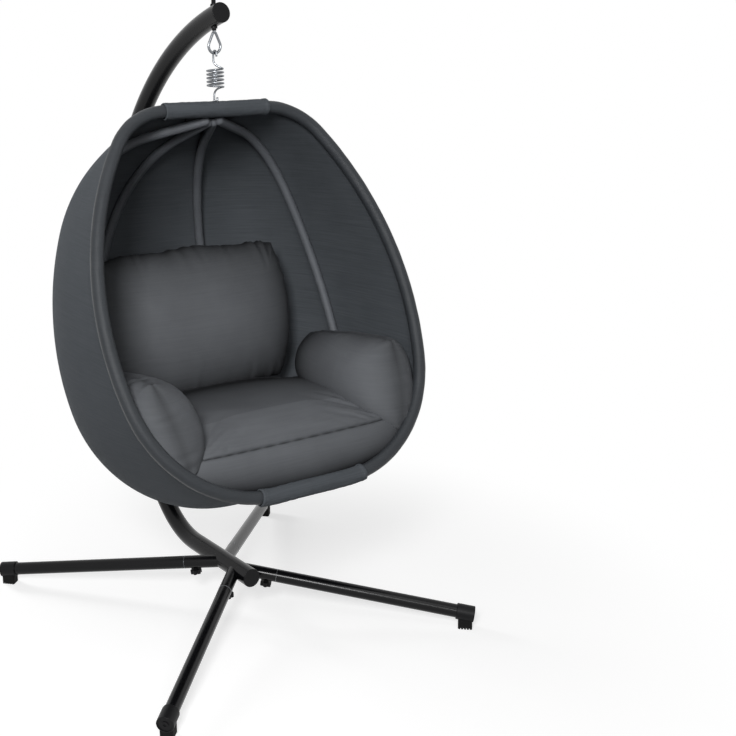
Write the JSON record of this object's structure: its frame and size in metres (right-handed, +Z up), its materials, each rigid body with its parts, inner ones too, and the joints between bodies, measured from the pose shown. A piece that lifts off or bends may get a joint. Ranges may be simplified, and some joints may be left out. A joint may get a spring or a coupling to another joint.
{
  "type": "hanging chair",
  "caption": "Egg-shaped fabric basket chair with padded seat, back and arms, hung by a coil spring from a C-shaped steel stand on splayed legs.",
  "frame": {"origin": "floor level, straight below the point the chair hangs from", "axes": "+Z up, the chair faces -Y, the pole stands behind at +Y, +X is the sitter's left"},
  "size_m": [1.1458, 1.3453, 1.9417],
  "materials": {
    "black_powder_coat": "satin powder coat",
    "black_plastic": "fine matte moulding",
    "pad_rubber": "matte",
    "zinc_plate": "bright zinc plate",
    "black_fasteners": "black oxide",
    "frame_tube": "satin powder coat",
    "basket_fabric": "plain-weave oxford cloth",
    "cushion_fabric": "plain-weave oxford cloth, padded"
  },
  "bodies": {
    "stand": {"base_tube_plug": "black_plastic", "foot_cap_front_left": "black_plastic", "foot_cap_front_right": "black_plastic", "foot_cap_rear_left": "black_plastic", "foot_cap_rear_right": "black_plastic", "foot_pad_front_left": "pad_rubber", "foot_pad_front_right": "pad_rubber", "foot_pad_rear_left": "pad_rubber", "foot_pad_rear_right": "pad_rubber", "leg_front_left": "black_powder_coat", "leg_front_right": "black_powder_coat", "leg_knob_screws": "black_plastic", "leg_rear_left": "black_powder_coat", "leg_rear_right": "black_powder_coat", "lower_pole": "black_powder_coat", "lower_saddle_bush": "black_plastic", "pole_joint_bolts": "black_fasteners", "pole_joint_cap_nuts": "black_fasteners", "pole_tip_plug": "black_plastic", "upper_pole": "black_powder_coat", "upper_saddle_bush": "black_plastic"},
    "eye": {"eye_bolt": "zinc_plate", "eye_bolt_cap_nut": "black_fasteners", "eye_bolt_nuts": "black_fasteners", "eye_bolt_washer": "black_fasteners"},
    "spring": {"hanging_spring": "zinc_plate"},
    "hanger": {"hanger_link": "zinc_plate"},
    "basket": {"arm_cushion_left": "cushion_fabric", "arm_cushion_right": "cushion_fabric", "back_cushion": "cushion_fabric", "bottom_hub": "frame_tube", "bottom_sleeve": "basket_fabric", "fabric_shell": "basket_fabric", "hanger_pin": "zinc_plate", "rib_bolts": "black_fasteners", "rib_channel_left_back": "basket_fabric", "rib_channel_left_side": "basket_fabric", "rib_channel_right_back": "basket_fabric", "rib_channel_right_side": "basket_fabric", "rib_left_back": "frame_tube", "rib_left_side": "frame_tube", "rib_right_back": "frame_tube", "rib_right_side": "frame_tube", "rim_bolts": "black_fasteners", "rim_cover_left": "basket_fabric", "rim_cover_right": "basket_fabric", "rim_tube_left": "frame_tube", "rim_tube_right": "frame_tube", "seat_cushion": "cushion_fabric", "top_hub": "frame_tube", "top_sleeve": "basket_fabric"}
  },
  "joints": [
    {"name": "swivel", "type": "hinge", "parent": "stand", "child": "eye", "pos_m": [0, 0, 1.884], "axis": [0, 0, 1], "continuous": true},
    {"name": "swing_fore_aft", "type": "hinge", "parent": "eye", "child": "spring", "pos_m": [0, 0, 1.77846], "axis": [1, 0, 0], "range_deg": [-6, 6]},
    {"name": "spring_stretch", "type": "slide", "parent": "spring", "child": "hanger", "axis": [0, 0, -1], "range_m": [-0.012, 0.04], "stiffness_N_per_m": 20000, "springref_m": -0.02934, "deforming": ["hanging_spring"]},
    {"name": "swing_side", "type": "hinge", "parent": "hanger", "child": "basket", "pos_m": [0, 0, 1.61546], "axis": [0, 1, 0], "range_deg": [-6, 6]}
  ]
}
